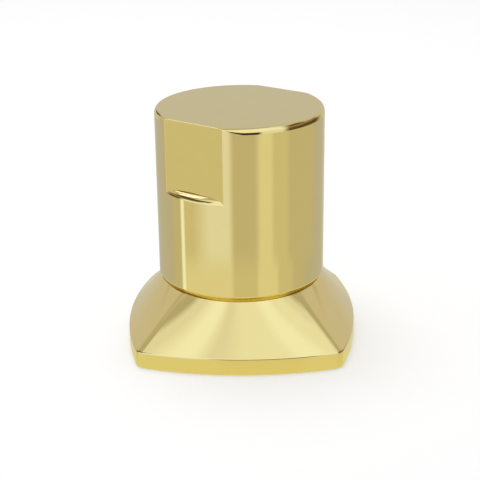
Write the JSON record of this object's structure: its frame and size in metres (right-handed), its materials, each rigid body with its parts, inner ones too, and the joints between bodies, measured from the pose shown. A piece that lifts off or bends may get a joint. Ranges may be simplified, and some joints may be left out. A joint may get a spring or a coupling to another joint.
{
  "type": "tap handle",
  "caption": "Round tap knob with gripping flats that turns over a flared square wall escutcheon, in polished gold plating.",
  "frame": {"origin": "centre of the escutcheon's foot, on the wall face", "axes": "+Z out of the wall along the valve's spindle, X and Y through the middles of the escutcheon's sides"},
  "size_m": [0.0608, 0.0608, 0.0622],
  "materials": {
    "gold_plate": "cast brass, mirror polished and gold plated",
    "turned_brass": "turned bare brass",
    "acetal": "natural white acetal, moulded",
    "screw_steel": "stainless steel set screw"
  },
  "bodies": {
    "cover": {"escutcheon": "gold_plate", "clamp_sleeve": "gold_plate", "glide_ring": "acetal"},
    "handle": {"knob": "gold_plate", "spindle_adapter": "turned_brass", "grub_screw": "screw_steel"}
  },
  "joints": [
    {"name": "knob_turn", "type": "hinge", "parent": "cover", "child": "handle", "pos_m": [0, 0, 0.04], "axis": [0, 0, 1], "continuous": true}
  ]
}
